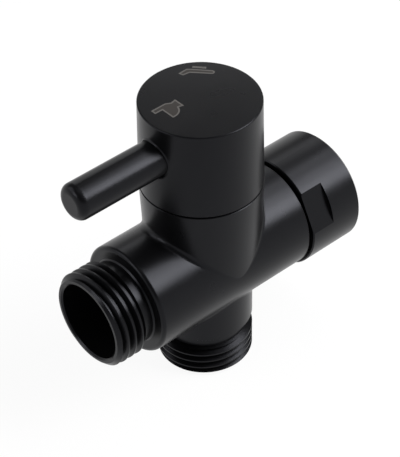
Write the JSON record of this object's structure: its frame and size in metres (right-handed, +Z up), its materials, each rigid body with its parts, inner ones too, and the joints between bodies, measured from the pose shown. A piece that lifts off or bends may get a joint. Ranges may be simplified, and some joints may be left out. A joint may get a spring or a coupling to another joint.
{
  "type": "bidet diverter valve",
  "caption": "Tee-shaped diverter valve with a swivel inlet nut, threaded front and lower outlets, and a round cap with a straight lever.",
  "frame": {"origin": "centre of the lower outlet's end face, on the stem axis", "axes": "+Z up the stem axis to the handle cap, +X along the run to the inlet nut, -X to the front outlet and the lever at rest"},
  "size_m": [0.0673, 0.0256, 0.0669],
  "materials": {
    "black_paint": "satin black coating on brass",
    "brass": "turned brass",
    "steel": "plain stainless steel",
    "rubber": "moulded black rubber",
    "ceramic": "lapped alumina",
    "plastic": "natural moulded plastic"
  },
  "bodies": {
    "valve": {"valve_body": "black_paint", "cartridge_housing": "plastic", "gland_nut": "brass", "fixed_disc": "ceramic", "seat_seal": "rubber", "housing_oring": "rubber", "split_ring": "steel", "inlet_washer": "rubber"},
    "handle": {"handle_cap": "black_paint", "lever": "black_paint", "lever_stud": "steel", "grub_screw": "steel", "stem": "brass", "stem_oring_lower": "rubber", "stem_oring_upper": "rubber", "moving_disc": "ceramic", "stem_clip": "steel", "thrust_washer": "plastic"},
    "nut": {"swivel_nut": "black_paint"}
  },
  "joints": [
    {"name": "handle_turn", "type": "hinge", "parent": "valve", "child": "handle", "pos_m": [0, 0, 0.0587], "axis": [0, 0, 1], "range_deg": [0, 90]},
    {"name": "nut_swivel", "type": "hinge", "parent": "valve", "child": "nut", "pos_m": [0.0274, 0, 0.0263], "axis": [1, 0, 0], "continuous": true}
  ]
}
